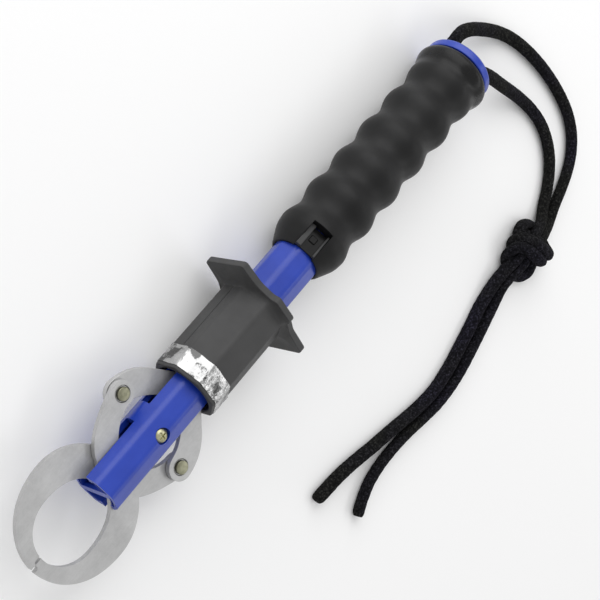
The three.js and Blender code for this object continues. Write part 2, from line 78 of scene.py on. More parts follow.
def extent(node):
    """A CAD node's lowest and highest corners in the tool frame, in millimetres."""
    low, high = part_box(node)
    return (low - TOOL_ORIGIN) / MM, (high - TOOL_ORIGIN) / MM


def middle_of(node):
    low, high = extent(node)
    return (low + high) / 2


def place(point):
    return TOOL_ORIGIN + Vector(point) * MM


TUBE_NOSE, TUBE_END = (corner.x for corner in extent("body_tube"))
SLEEVE_REAR = extent("trigger_sleeve")[1].x
GRIP_FRONT, GRIP_REAR = (corner.x for corner in extent("grip"))
CAP_END = extent("end_cap")[1].x
BAND_FRONT, BAND_REAR = (corner.x for corner in extent("label_band"))
RIVET = middle_of("rivet_left")
SCREW_X = middle_of("nose_nut").x
ANCHOR_X = middle_of("anchor_pin").x
CROSS_X = middle_of("cross_pin").x
DRIVE_PIN_X = middle_of("drive_pin").x

# Play between parts, the plates' thickness and each plate's distance from the middle plane.
GAP = 0.3
PLATE = 2.0
LAYER = 0.15
PLATE_TOP = LAYER + PLATE
SLOT_HALF = 2.45
TRAVEL = 10.0

# Pins. The jaws' eyes have the play at which the linkage's closed loop is opened.
PIN_RADIUS = 2.0
EYE_RADIUS = PIN_RADIUS + 0.65
DRIVE_PIN_RADIUS = 1.6
YOKE_PIN_X = 20.0

# Radii of the octagons run to their corners.
TUBE_RADIUS = 9.4
TUBE_ROUNDING = 1.6
ROUND_RADIUS = 9.0
TUBE_BORE = 6.6
OCTAGON_REAR = GRIP_FRONT + 1.0
SLEEVE_RADIUS = 13.3
SLEEVE_ROUNDING = 0.9
SLEEVE_BORE = 10.6

CORD_WIDTH = 5.7
CORD_THICKNESS = 4.6

# The cap's two holes for the cord lie this far from the axis, opposite each other.
CORD_HOLE = Vector((0, 7.3, -3.3))

# How far to each side cutters reach that pass right through.
THROUGH = 12.0


# ---- camera, floor and light


def add_object(name, data):
    made = bpy.data.objects.new(name, data)
    bpy.context.scene.collection.objects.link(made)
    return made


def add_camera():
    """The photo's camera, as fitted to its edges."""
    data = bpy.data.cameras.new("camera")
    camera = add_object("camera", data)
    data.sensor_width = 36.0
    data.lens = 84.0
    data.clip_end = 20.0
    forward = Vector((0.4148, -0.5306, -0.7392)).normalized()
    up = Vector((0.6973, 0.7073, -0.1164))
    right = forward.cross(up).normalized()
    turned = Matrix((right, right.cross(forward), -forward)).transposed()
    camera.matrix_world = Matrix.Translation((-0.2025, 0.2552, 0.3900)) @ turned.to_4x4()
    bpy.context.scene.camera = camera


def add_floor():
    half = 3.0
    corners = [(-half, -half, 0), (half, -half, 0), (half, half, 0), (-half, half, 0)]
    floor = new_object("floor", corners, [(0, 1, 2, 3)])
    floor.data.materials.append(new_material("floor_white", (0.95, 0.95, 0.95), 0.85)[0])


def add_area(name, location, target, size, power):
    data = bpy.data.lights.new(name, "AREA")
    data.shape = "RECTANGLE"
    data.size, data.size_y = size
    data.energy = power
    light = add_object(name, data)
    light.location = location
    light.rotation_mode = "QUATERNION"
    light.rotation_quaternion = (Vector(target) - Vector(location)).to_track_quat("-Z", "Y")


def add_lights():
    world = bpy.data.worlds.new("studio")
    bpy.context.scene.world = world
    world.use_nodes = True
    background = world.node_tree.nodes["Background"]
    background.inputs["Color"].default_value = (1, 1, 1, 1)
    background.inputs["Strength"].default_value = 0.65
    add_area("left_softbox", (0.42, 0.76, 0.54), (0, 0, 0), (1.1, 1.2), 8.0)
    add_area("right_strip", (0.45, -0.58, 0.82), (0, 0, 0), (0.9, 0.14), 1.2)
    add_area("low_strip", (0.45, -0.98, 0.20), (0, 0, 0.02), (0.9, 0.07), 0.5)
    bpy.context.scene.view_settings.view_transform = "Standard"


# ---- materials


def new_material(name, colour, roughness, metallic=0.0, **sockets):
    material = bpy.data.materials.new(name)
    material.use_nodes = True
    tree = material.node_tree
    shader = tree.nodes["Principled BSDF"]
    shader.inputs["Base Color"].default_value = (*colour, 1)
    shader.inputs["Roughness"].default_value = roughness
    shader.inputs["Metallic"].default_value = metallic
    for socket, value in sockets.items():
        shader.inputs[socket.replace("_", " ")].default_value = value
    return material, tree, shader


def add_node(tree, kind, **values):
    """A shader node with the given properties, or inputs where it has no such property."""
    node = tree.nodes.new(kind)
    for key, value in values.items():
        if hasattr(node, key):
            setattr(node, key, value)
        else:
            node.inputs[key.replace("_", " ")].default_value = value
    return node


def coordinates(tree, scale=(1, 1, 1), source="Object"):
    """Object coordinates in metres, or UVs, stretched by scale."""
    where = tree.nodes.new("ShaderNodeTexCoord")
    mapping = add_node(tree, "ShaderNodeMapping", Scale=scale)
    tree.links.new(where.outputs[source], mapping.inputs["Vector"])
    return mapping.outputs["Vector"]


def noise_at(tree, scale, detail, roughness=0.5, stretch=(1, 1, 1)):
    texture = add_node(tree, "ShaderNodeTexNoise", Scale=scale, Detail=detail, Roughness=roughness)
    tree.links.new(coordinates(tree, stretch), texture.inputs["Vector"])
    return texture.outputs["Fac"]


def cells_at(tree, scale):
    texture = add_node(tree, "ShaderNodeTexVoronoi", Scale=scale)
    tree.links.new(coordinates(tree), texture.inputs["Vector"])
    return texture.outputs["Distance"]


def ramp(tree, factor, stops):
    """A colour ramp; stops are (position, grey or colour)."""
    node = tree.nodes.new("ShaderNodeValToRGB")
    elements = node.color_ramp.elements
    while len(elements) < len(stops):
        elements.new(0.5)
    for element, (position, value) in zip(elements, stops):
        element.position = position
        rgb = (value,) * 3 if isinstance(value, float) else value
        element.color = (*rgb, 1)
    tree.links.new(factor, node.inputs["Fac"])
    return node.outputs["Color"]


def span(tree, factor, low, high):
    """Maps a 0 to 1 factor to low to high."""
    node = add_node(tree, "ShaderNodeMapRange", To_Min=low, To_Max=high)
    tree.links.new(factor, node.inputs["Value"])
    return node.outputs["Result"]


def colour_by(tree, shader, factor, stops):
    tree.links.new(ramp(tree, factor, stops), shader.inputs["Base Color"])


def roughness_by(tree, shader, factor, low, high):
    tree.links.new(span(tree, factor, low, high), shader.inputs["Roughness"])


def blend_colours(tree, first, second):
    mix = add_node(
        tree, "ShaderNodeMix", data_type="RGBA", blend_type="MULTIPLY", Factor=1.0)
    tree.links.new(first, mix.inputs["A"])
    tree.links.new(second, mix.inputs["B"])
    return mix.outputs["Result"]


def add_bump(tree, shader, height, distance, strength, before=None):
    bump = add_node(tree, "ShaderNodeBump", Strength=strength, Distance=distance)
    tree.links.new(height, bump.inputs["Height"])
    if before is not None:
        tree.links.new(before, bump.inputs["Normal"])
    tree.links.new(bump.outputs["Normal"], shader.inputs["Normal"])
    return bump.outputs["Normal"]


def blue_plastic():
    material, tree, shader = new_material(
        "blue_moulding", (0.012, 0.042, 0.36), 0.3,
        Specular_IOR_Level=0.4, Coat_Weight=0.15, Coat_Roughness=0.2)
    blues = [(0.3, (0.009, 0.036, 0.33)), (0.7, (0.015, 0.049, 0.40))]
    colour_by(tree, shader, noise_at(tree, 90, 4), blues)
    streaks = noise_at(tree, 1.0, 3, stretch=(60, 700, 700))
    roughness_by(tree, shader, streaks, 0.24, 0.40)
    ripple = add_bump(tree, shader, noise_at(tree, 260, 2), 0.00012, 0.25)
    add_bump(tree, shader, noise_at(tree, 2600, 3), 0.00003, 0.3, ripple)
    return material


def sleeve_plastic():
    material, tree, shader = new_material(
        "sleeve_grey", (0.05, 0.05, 0.052), 0.5, Specular_IOR_Level=0.35)
    greys = [(0.3, (0.040, 0.040, 0.0405)), (0.7, (0.053, 0.053, 0.0535))]
    colour_by(tree, shader, noise_at(tree, 60, 5), greys)
    roughness_by(tree, shader, noise_at(tree, 300, 4), 0.5, 0.7)
    add_bump(tree, shader, noise_at(tree, 3500, 4, 0.7), 0.00006, 0.6)
    return material


def towards_cap(tree):
    """A factor that falls where hands have polished the grip's rear bulge."""
    split = tree.nodes.new("ShaderNodeSeparateXYZ")
    tree.links.new(coordinates(tree), split.inputs["Vector"])
    grip_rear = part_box("grip")[1].x
    fade = add_node(
        tree, "ShaderNodeMapRange", interpolation_type="SMOOTHSTEP",
        From_Min=grip_rear - 0.014, From_Max=grip_rear - 0.006, To_Min=1.0, To_Max=0.6)
    tree.links.new(split.outputs["X"], fade.inputs["Value"])
    return fade.outputs["Result"]


def grip_rubber():
    material, tree, shader = new_material(
        "grip_rubber", (0.012, 0.012, 0.0125), 0.5, Specular_IOR_Level=0.22)
    blacks = [(0.3, (0.006, 0.006, 0.0062)), (0.7, (0.0125, 0.0125, 0.0128))]
    colour_by(tree, shader, noise_at(tree, 55, 6, 0.6), blacks)
    rubbed = noise_at(tree, 130, 5, 0.65)
    polish = add_node(tree, "ShaderNodeMath", operation="MULTIPLY")
    tree.links.new(span(tree, rubbed, 0.34, 0.58), polish.inputs[0])
    tree.links.new(towards_cap(tree), polish.inputs[1])
    tree.links.new(polish.outputs["Value"], shader.inputs["Roughness"])
    waves = add_bump(tree, shader, noise_at(tree, 120, 3), 0.0004, 0.35)
    add_bump(tree, shader, noise_at(tree, 2400, 4, 0.7), 0.00006, 0.45, waves)
    return material


def brushed_steel(name, along, grey=0.6):
    """Stainless plate with fine rolling lines, drawn out by `along`, and a dull speckle."""
    material, tree, shader = new_material(name, (grey,) * 3, 0.45, 0.75)
    lines = noise_at(tree, 1.0, 5, 0.65, along)
    speckle = noise_at(tree, 70, 9, 0.85)
    lined = ramp(tree, lines, [(0.3, grey * 0.92), (0.7, grey)])
    dulled = blend_colours(tree, lined, ramp(tree, speckle, [(0.3, 0.72), (0.7, 1.0)]))
    tree.links.new(dulled, shader.inputs["Base Color"])
    roughness_by(tree, shader, speckle, 0.42, 0.60)
    add_bump(tree, shader, lines, 0.00002, 0.25)
    return material


def zinc_steel(name, dark, light):
    material, tree, shader = new_material(name, light, 0.35, 1.0)
    colour_by(tree, shader, noise_at(tree, 500, 4), [(0.3, dark), (0.7, light)])
    roughness_by(tree, shader, noise_at(tree, 900, 3), 0.25, 0.5)
    add_bump(tree, shader, noise_at(tree, 3000, 3), 0.00004, 0.4)
    return material


def crinkled_foil():
    material, tree, shader = new_material("silver_foil", (0.7, 0.7, 0.7), 0.25, 0.9)
    # Dark patches painted into the foil's colour: painted shade and dark reflections in its
    # crumples, not the foil's own colour.
    painted_crumple_shade = [(0.44, 0.10), (0.47, 0.40), (0.60, 0.50), (1.0, 0.56)]
    colour_by(tree, shader, noise_at(tree, 130, 6, 0.6), painted_crumple_shade)
    roughness_by(tree, shader, noise_at(tree, 700, 3), 0.12, 0.4)
    add_bump(tree, shader, cells_at(tree, 420.0), 0.00022, 0.5)
    return material


def black_plastic():
    material, tree, shader = new_material(
        "black_moulding", (0.008, 0.008, 0.0085), 0.2, Specular_IOR_Level=0.12)
    colour_by(tree, shader, noise_at(tree, 150, 4), [(0.3, 0.004), (0.7, 0.009)])
    roughness_by(tree, shader, noise_at(tree, 400, 3), 0.16, 0.3)
    add_bump(tree, shader, noise_at(tree, 2600, 3), 0.00004, 0.4)
    return material


def braid_colour(tree, specks):
    """Dyed fibres: fine specks darkened by small cells, under a faint bluish cloud."""
    fibres = add_node(tree, "ShaderNodeMath", operation="MULTIPLY_ADD")
    fibres.inputs[1].default_value = 1.1
    tree.links.new(specks, fibres.inputs[0])
    tree.links.new(span(tree, cells_at(tree, 850.0), 0.05, -0.25), fibres.inputs[2])
    dye = [
        (0.3, (0.0025, 0.0025, 0.0027)), (0.48, (0.008, 0.008, 0.008)),
        (0.66, (0.032, 0.032, 0.031)),
    ]
    tint = [(0.4, (1.0, 1.0, 0.95)), (0.65, (0.95, 0.88, 1.5))]
    dyed = ramp(tree, fibres.outputs["Value"], dye)
    return blend_colours(tree, dyed, ramp(tree, noise_at(tree, 28, 4), tint))


def braided_cord():
    """Black braid: U runs once round the cord and V along it, in centimetres."""
    material, tree, shader = new_material(
        "black_braid", (0.004, 0.004, 0.005), 0.85, Specular_IOR_Level=0.08)
    specks = noise_at(tree, 1500, 3, 0.7)
    tree.links.new(braid_colour(tree, specks), shader.inputs["Base Color"])
    threads = add_node(
        tree, "ShaderNodeTexWave", wave_type="BANDS", bands_direction="DIAGONAL",
        Scale=7.0, Distortion=0.6, Detail=1.0)
    tree.links.new(coordinates(tree, source="UV"), threads.inputs["Vector"])
    fine = add_bump(tree, shader, threads.outputs["Fac"], 0.0002, 0.35)
    add_bump(tree, shader, specks, 0.0003, 0.6, fine)
    return material


# ---- mesh helpers


def new_object(name, vertices, faces):
    mesh = bpy.data.meshes.new(name)
    mesh.from_pydata([tuple(v) for v in vertices], [], faces)
    mesh.update()
    return add_object(name, mesh)


def face_out(obj):
    shape = bmesh.new()
    shape.from_mesh(obj.data)
    bmesh.ops.recalc_face_normals(shape, faces=shape.faces)
    shape.to_mesh(obj.data)
    shape.free()
    return obj


def skin(rings, rows):
    """Points and quads of equal closed rings, for that many rows of quads."""
    count = len(rings[0])
    vertices = [point for ring in rings for point in ring]
    faces = []
    for row in range(rows):
        below, above = row * count, (row + 1) % len(rings) * count
        for i in range(count):
            j = (i + 1) % count
            faces.append((below + i, below + j, above + j, above + i))
    return vertices, faces


def loft(name, rings):
    """A skin over equal closed rings of points, with its two ends closed."""
    vertices, faces = skin(rings, len(rings) - 1)
    count = len(rings[0])
    faces.append(tuple(reversed(range(count))))
    faces.append(tuple(range((len(rings) - 1) * count, len(rings) * count)))
    return face_out(new_object(name, vertices, faces))


def hoop(name, rings):
    """A skin over rings that closes on itself, as a hollow sleeve does."""
    return face_out(new_object(name, *skin(rings, len(rings))))


def around(x, radius, t):
    """A point at an angle round the tool's axis, from +Z towards +Y."""
    return Vector((x, radius * sin(t), radius * cos(t)))


def turn_angles(count):
    return [2 * pi * i / count for i in range(count)]


def circle(x, radius, sides=96):
    return [around(x, radius, t) for t in turn_angles(sides)]


def arc(centre, radius, start, end, steps):
    """Points on an arc in the XY plane; angles in degrees, radius one number or two."""
    rx, ry = radius if isinstance(radius, tuple) else (radius, radius)
    points = []
    for i in range(steps + 1):
        t = radians(start + (end - start) * i / steps)
        points.append(Vector((centre[0] + rx * cos(t), centre[1] + ry * sin(t))))
    return points


def bezier(controls, steps):
    """Points on a Bezier curve of any degree, its last point left out."""
    points = []
    for i in range(steps):
        row = [Vector(c) for c in controls]
        while len(row) > 1:
            row = [a.lerp(b, i / steps) for a, b in zip(row, row[1:])]
        points.append(row[0])
    return points


def without_repeats(points):
    kept = []
    for point in points:
        if not kept or (point - kept[-1]).length > 0.02:
            kept.append(point)
    if (kept[0] - kept[-1]).length < 0.02:
        kept.pop()
    return kept


def plate(name, outline, bottom, top):
    """An outline in X and Y carried from one height to another."""
    outline = without_repeats(outline)
    return loft(name, [[Vector((p.x, p.y, z)) for p in outline] for z in (bottom, top)])


def prism(name, section, start, end):
    """An outline in Y and Z carried along the tool's axis."""
    section = without_repeats(section)
    return loft(name, [[Vector((x, p.x, p.y)) for p in section] for x in (start, end)])


def box(name, x, y, z):
    corners = [Vector(c) for c in ((x[0], y[0]), (x[1], y[0]), (x[1], y[1]), (x[0], y[1]))]
    return plate(name, corners, *z)


def post(name, x, y, radius, bottom, top, sides=48):
    return plate(name, arc((x, y), radius, 0, 360, sides), bottom, top)


def rounded_outline(corners, reach, steps=5):
    """Closed outline whose corners are replaced by curves that start `reach` before them."""
    points = []
    for i, corner in enumerate(corners):
        corner = Vector(corner)
        before, after = Vector(corners[i - 1]), Vector(corners[(i + 1) % len(corners)])
        start = corner + (before - corner).normalized() * reach
        end = corner + (after - corner).normalized() * reach
        points += bezier([start, corner, end], steps) + [end]
    return points


def octagon(radius, reach, phase=0.0, steps=5):
    corners = []
    for i in range(8):
        t = phase + pi * i / 4
        corners.append((radius * sin(t), radius * cos(t)))
    return rounded_outline(corners, reach, steps)


def settle(obj):
    graph = bpy.context.evaluated_depsgraph_get()
    obj.data = bpy.data.meshes.new_from_object(obj.evaluated_get(graph))
    obj.modifiers.clear()
    return obj


def combine(base, other, operation):
    modifier = base.modifiers.new("combine", "BOOLEAN")
    modifier.operation = operation
    modifier.solver = "MANIFOLD"
    modifier.object = other
    settle(base)
    bpy.data.objects.remove(other)
    return base


def cut(base, *tools):
    for tool in tools:
        combine(base, tool, "DIFFERENCE")
    return base


def join(base, *others):
    for other in others:
        combine(base, other, "UNION")
    return base


def clean(obj, angle=0.3):
    """Merges doubled points and coplanar faces."""
    shape = bmesh.new()
    shape.from_mesh(obj.data)
    bmesh.ops.remove_doubles(shape, verts=shape.verts, dist=1e-4)
    bmesh.ops.dissolve_limit(
        shape, angle_limit=radians(angle), verts=shape.verts, edges=shape.edges)
    shape.to_mesh(obj.data)
    shape.free()
    return obj


def soften(obj, width, angle=32, segments=3):
    """Rounds the edges sharper than the angle, and shades the rest smoothly."""
    bevel = obj.modifiers.new("bevel", "BEVEL")
    bevel.width = width
    bevel.segments = segments
    bevel.limit_method = "ANGLE"
    bevel.angle_limit = radians(angle)
    bevel.use_clamp_overlap = True
    bevel.miter_outer = "MITER_ARC"
    settle(obj)
    return smooth(obj)


def smooth(obj, angle=50):
    obj.data.shade_smooth()
    obj.data.set_sharp_from_angle(angle=radians(angle))
    weighted = obj.modifiers.new("normals", "WEIGHTED_NORMAL")
    weighted.keep_sharp = True
    weighted.weight = 60
    return settle(obj)


def mirror_y(obj):
    obj.data.transform(Matrix.Scale(-1, 4, Vector((0, 1, 0))))
    obj.data.flip_normals()
    return obj


def roll(obj, angle):
    obj.data.transform(Matrix.Rotation(angle, 4, "X"))
    return obj


def into_row(obj):
    obj.data.transform(Matrix.Translation(TOOL_ORIGIN) @ Matrix.Scale(MM, 4))
    return obj


def add_detail(obj, node, material):
    """Gives a piece a CAD node's body and the given material, without replacing the node."""
    obj.data.materials.clear()
    obj.data.materials.append(material)
    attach(obj, frame["nodes"][node]["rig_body"])
    return obj


def stand_for(obj, node, material):
    """Lets a piece that is in the row frame take the place of its CAD node."""
    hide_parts(node)
    return add_detail(obj, node, material)


def show(obj, node, material):
    """Lets a piece that is in the tool frame take the place of its CAD node."""
    return stand_for(into_row(obj), node, material)


# ---- cord: two strands from the end cap through one knot to two cut ends

CORD_HEIGHT = 2.55


def lying(*places):
    """Route points where the cord lies on the floor."""
    return [(x, y, CORD_HEIGHT) for x, y in places]


# Routes in the row frame, in millimetres, as the CAD tubes lie.
LEG_LEFT = [
    (127.3, 7.3, 12.7), (131, 7.6, 12.7), (135, 7.5, 12.3), (139.2, 6.3, 11.5), (145, 2.9, 9.7),
    (151.5, -2, 7.4), (158.3, -7.8, 4.9), (164.2, -13.6, 3.1),
] + lying(
    (168.6, -19.5), (172.2, -26.3), (175.4, -34.4), (178, -43.5), (179.6, -52.5),
    (180.2, -61.5), (179.6, -69.5), (177.2, -77), (173, -83.2), (167, -88.2),
    (158.5, -92.4), (149.5, -95.6), (141.5, -99.2),
)
LEG_RIGHT = [
    (127.4, -7.3, 19.3), (130, -7.5, 19.3), (133.2, -10.8, 18.4), (137.2, -15.8, 16.2),
    (141.4, -21.2, 13.4), (145.6, -26.6, 10.6), (150, -32.2, 7.8), (154.4, -38.2, 5.2),
    (158.3, -44.6, 3.3),
] + lying(
    (161.2, -51.4), (162.6, -59), (162.2, -67), (159.6, -74.8), (155, -81.4), (149, -86.8),
    (142.6, -91),
)
TAIL_LEFT = lying(
    (96, -95), (87.5, -96.6), (76.5, -99.4), (66.8, -101.6), (56, -103.8), (45, -104.8),
    (34.6, -103.6), (25, -101.4), (14.5, -98.7), (4.9, -96.4), (-3, -94.2), (-10.5, -92.4),
    (-18, -91.2), (-28, -90.2),
)
TAIL_RIGHT = lying(
    (99, -101), (91, -103), (82, -105.3), (72.5, -107.6), (62.5, -109.8), (52.5, -111),
    (42.5, -110.9), (32.5, -109.2), (22, -107), (12, -105.8), (3.6, -105.6), (-4, -106.5),
    (-9.4, -108.3), (-14, -110.5), (-17.6, -112.8),
)

# The overhand knot's middle line: along (towards the tails), across (towards -Y) and height, then
# the direction from that line to the first of the two strands.
KNOT = [
    ((-17, 0, 4.4), (0, 1, 0)),
    ((-11, -0.5, 6.4), (0, 1, 0)),
    ((-4, 1.5, 6.2), (-0.3, 0.95, 0)),
    ((2, 4.6, 5), (-0.5, 0.86, 0)),
    ((7, 6.8, 3.6), (-0.1, 0.99, 0)),
    ((11.5, 5.2, 2.7), (0.75, 0.65, 0)),
    ((13.5, 0, 2.6), (1, 0, 0)),
    ((12, -5.5, 3.6), (0.93, -0.3, 0.2)),
    ((8, -8.4, 6.3), (0.62, 0, 0.78)),
    ((3.5, -6.6, 9.8), (0.75, 0.52, 0.39)),
    ((-0.5, -0.5, 11.3), (0.85, 0.54, 0)),
    ((-4.5, 5.6, 9.8), (0.79, 0.48, -0.36)),
    ((-8.5, 8.4, 6.5), (0.67, 0, -0.75)),
    ((-12, 6.0, 3.5), (0.88, -0.3, -0.35)),
    ((-13.2, 0.5, 2.6), (1, 0, 0)),
    ((-11, -5, 2.9), (0.77, 0.61, 0)),
    ((-6.5, -7.6, 4.2), (0.15, 0.99, 0)),
    ((-1, -6.0, 5), (-0.4, 0.9, 0)),
    ((5, -3, 6.3), (-0.44, 0.89, 0)),
    ((11, -0.8, 6.5), (-0.24, 0.97, 0)),
    ((17, -0.2, 4.2), (0, 1, 0)),
]
KNOT_SPACING = 2.45
KNOT_LOW, KNOT_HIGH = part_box("lanyard_knot")
KNOT_MIDDLE = (KNOT_LOW + KNOT_HIGH) / 2 / MM
KNOT_ENTRY = KNOT_HIGH.x / MM + 1.0
KNOT_EXIT = KNOT_LOW.x / MM - 1.0

# Everything but the middle line's two ends is drawn together, and shifted towards the legs.
KNOT_REACH = 14.0
SQUEEZE_TO_TAILS = 0.58
SQUEEZE_TO_LEGS = 0.72
KNOT_SHIFT = 1.8


def knot_route(side):
    points = []
    for (along, across, height), (sa, sr, sz) in KNOT:
        if abs(along) < KNOT_REACH:
            squeeze = SQUEEZE_TO_TAILS if along > 0 else SQUEEZE_TO_LEGS
            along = along * squeeze - KNOT_SHIFT
        shift = Vector((-sa, -sr, sz)).normalized() * KNOT_SPACING * side
        middle = Vector((KNOT_MIDDLE.x - along, KNOT_MIDDLE.y - across, height))
        points.append(middle + shift)
    return points


def catmull_rom(points):
    ends = [2 * points[0] - points[1], *points, 2 * points[-1] - points[-2]]
    fine = []
    for a, b, c, d in zip(ends, ends[1:], ends[2:], ends[3:]):
        for i in range(24):
            t = i / 24
            fine.append(0.5 * (2 * b + (c - a) * t + (2 * a - 5 * b + 4 * c - d) * t * t
                               + (3 * b - a - 3 * c + d) * t * t * t))
    return fine + [points[-1]]


def smooth_path(points, step):
    """A curve through the points, resampled evenly."""
    fine = catmull_rom([Vector(p) for p in points])
    even = [fine[0]]
    left = step
    for a, b in zip(fine, fine[1:]):
        long = (b - a).length
        done = 0.0
        while long - done >= left:
            done += left
            even.append(a.lerp(b, done / long))
            left = step
        left -= long - done
    even.append(fine[-1])
    return even


SIDES = 40
STEP = 0.3
BRAID_LOBES = 8
BRAID_PITCH = 8.0
BRAID_DEPTH = 0.2
CUT_RINGS = 8
CUT_SHRINK = 0.28


def braid_relief(point, t, along):
    """How far the braid stands out, at an angle round the cord and a length along it."""
    lobe = BRAID_LOBES * t / 2
    twist = 2 * pi * along / BRAID_PITCH
    relief = max(abs(cos(lobe + twist)), abs(cos(lobe - twist)))
    relief += 0.35 * noise.noise(point * 0.45 + Vector((3 * cos(t), 3 * sin(t), 0)))
    return (relief - 0.8) * BRAID_DEPTH


def strand_rings(path, size=1.0):
    """Rings of a braided cord round its path, flat side down, with the braid's own relief."""
    rings = []
    side = None
    for i, point in enumerate(path):
        tangent = (path[min(i + 1, len(path) - 1)] - path[max(i - 1, 0)]).normalized()
        if side is None:
            side = tangent.cross(Vector((0, 0, 1))).normalized()
        side = (side - tangent * side.dot(tangent)).normalized()
        over = side.cross(tangent)
        ring = []
        for t in turn_angles(SIDES):
            grown = braid_relief(point, t, i * STEP)
            ring.append(point + side * cos(t) * (CORD_WIDTH / 2 + grown) * size
                        + over * sin(t) * (CORD_THICKNESS / 2 + grown) * size)
        rings.append(ring)
    return rings


def cord_mesh(name, stretches):
    """One object of stretches of cord: each its rings, and the first one's number in the strand."""
    vertices, faces, uvs = [], [], []
    for rings, first in stretches:
        base = len(vertices)
        vertices += [p for ring in rings for p in ring]
        for row in range(len(rings) - 1):
            near, far = base + row * SIDES, base + (row + 1) * SIDES
            low, high = (first + row) * STEP / 10, (first + row + 1) * STEP / 10
            for k in range(SIDES):
                n = (k + 1) % SIDES
                faces.append((near + k, near + n, far + n, far + k))
                u, v = k / SIDES, (k + 1) / SIDES
                uvs += [(u, low), (v, low), (v, high), (u, high)]
        last = base + (len(rings) - 1) * SIDES
        faces.append(tuple(reversed(range(base, base + SIDES))))
        faces.append(tuple(range(last, last + SIDES)))
        uvs += [(0.5, 0.0)] * 2 * SIDES
    obj = new_object(name, [v * MM for v in vertices], faces)
    layer = obj.data.uv_layers.new(name="cord")
    for loop, uv in zip(layer.data, uvs):
        loop.uv = uv
    face_out(obj)
    obj.data.shade_smooth()
    return obj


def frayed(rings):
    """Draws the last rings of a cut end in a little, as a melted cut does."""
    for i, ring in enumerate(rings[-CUT_RINGS:]):
        middle = sum(ring, Vector()) / len(ring)
        share = 1 - CUT_SHRINK * ((i + 1) / CUT_RINGS) ** 2
        for k, point in enumerate(ring):
            ring[k] = middle + (point - middle) * share
    return rings


def strand(route):
    """A strand's path and rings, and the numbers of its first and last ring in the knot."""
    path = smooth_path(route, STEP)
    enter = next(i for i, p in enumerate(path) if i > 100 and p.x < KNOT_ENTRY)
    leave = max(i for i, p in enumerate(path) if p.x > KNOT_EXIT)
    return path, frayed(strand_rings(path)), enter, leave


def add_free_cord(name, path, rings, first, material, **facts):
    """A stretch outside the knot; its path is not used."""
    obj = cord_mesh(f"cord_{name}", [(rings, first)])
    stand_for(obj, f"lanyard_{name}", material)


def add_cords(material):
    """The left leg leads through the knot to the right tail, and the right leg to the left."""
    left = strand(LEG_LEFT + knot_route(1) + TAIL_RIGHT[1:])
    right = strand(LEG_RIGHT + knot_route(-1) + TAIL_LEFT[1:])
    inside = [(rings[enter : leave + 1], enter) for _, rings, enter, leave in (left, right)]
    knot = stand_for(cord_mesh("cord_knot", inside), "lanyard_knot", material)
    for name, (path, rings, enter, _) in (("leg_left", left), ("leg_right", right)):
        add_free_cord(name, path[: enter + 1], rings[: enter + 1], 0, material,
                      far_end="knot", with_pieces=[knot])
    for name, (path, rings, _, leave) in (("tail_right", left), ("tail_left", right)):
        add_free_cord(name, path[leave:], rings[leave:], leave, material, far_end="bare")


# ---- body tube and its screw


def body_tube(material):
    tube = prism("body_tube_shell", octagon(TUBE_RADIUS, TUBE_ROUNDING), TUBE_NOSE, OCTAGON_REAR)
    round_part = [circle(OCTAGON_REAR - 1, ROUND_RADIUS), circle(TUBE_END, ROUND_RADIUS)]
    join(tube, loft("round_part", round_part))
    bore = [circle(TUBE_NOSE - 1, TUBE_BORE, 72), circle(TUBE_END + 1, TUBE_BORE, 72)]
    wide = (-THROUGH, THROUGH)
    play = DRIVE_PIN_RADIUS + GAP
    cut(
        tube,
        loft("bore", bore),
        box("jaw_slot", (TUBE_NOSE - 1, -21.4), wide, (-SLOT_HALF, SLOT_HALF)),
        box("link_slot", (-13.6, 8.5), wide, (-SLOT_HALF, SLOT_HALF)),
        box("drive_slot", (DRIVE_PIN_X - play, DRIVE_PIN_X + TRAVEL + play), wide, (-play, play)),
    )
    nose_ribs(tube)
    nose_pockets(tube)
    cut(
        tube,
        post("screw_hole", SCREW_X, 0, 1.6, *wide),
        post("screw_recess", SCREW_X, 0, 2.9, 7.2, THROUGH),
        post("nut_recess", SCREW_X, 0, 3.3, -THROUGH, -7.2, 6),
        post("pin_hole", ANCHOR_X, 0, PIN_RADIUS + GAP, -8.1, 8.1),
    )
    soften(clean(tube), 0.28)
    return show(tube, "body_tube", material)


def nose_ribs(tube):
    """The bridge between the nose's two shells, and a web and a screw boss in each."""
    join(tube, box("bridge", (TUBE_NOSE, TUBE_NOSE + 1.5), (-1.3, 1.3), (-7, 7)))
    for web, boss in (((-7.9, -4.9), (-8, -4.7)), ((4.9, 7.9), (4.7, 8))):
        join(tube, box("web", (TUBE_NOSE, TUBE_NOSE + 8), (-0.7, 0.7), web))
        join(tube, post("boss", SCREW_X, 0, 3.6, *boss))


def nose_pockets(tube):
    """Shallow sinks in the nose's end face, each following a shell's curve."""
    for z in (-1, 1):
        for y in (-1, 1):
            outer = arc((0, 0), 7.6, 8, 58, 12)
            inner = arc((0, 0), 6.7, 58, 8, 12)
            section = [Vector((y * p.y, z * p.x)) for p in outer + inner]
            cut(tube, prism("pocket", section, TUBE_NOSE - 1, TUBE_NOSE + 1.0))


def nose_screw(material):
    profile = [(8.62, 0.0), (8.58, 1.1), (8.42, 1.8), (8.1, 2.3), (7.75, 2.55), (7.5, 2.6)]
    profile += [(7.45, 1.3), (-8.6, 1.3), (-8.6, 0.0)]
    screw = turned_upright("nose_screw_head", profile, SCREW_X, 0)
    arm, width = 1.5, 0.34
    for half_x, half_y in ((width, arm), (arm, width)):
        x = (SCREW_X - half_x, SCREW_X + half_x)
        cut(screw, box("cross", x, (-half_y, half_y), (7.9, 9.5)))
    soften(clean(screw), 0.12, 40, 2)
    return show(screw, "nose_screw", material)


def nose_nut(material):
    nut = post("nose_nut_hex", SCREW_X, 0, 2.9, -9.0, -7.5, 6)
    cut(nut, post("thread", SCREW_X, 0, 1.45, -10, -7))
    soften(clean(nut), 0.2)
    return show(nut, "nose_nut", material)


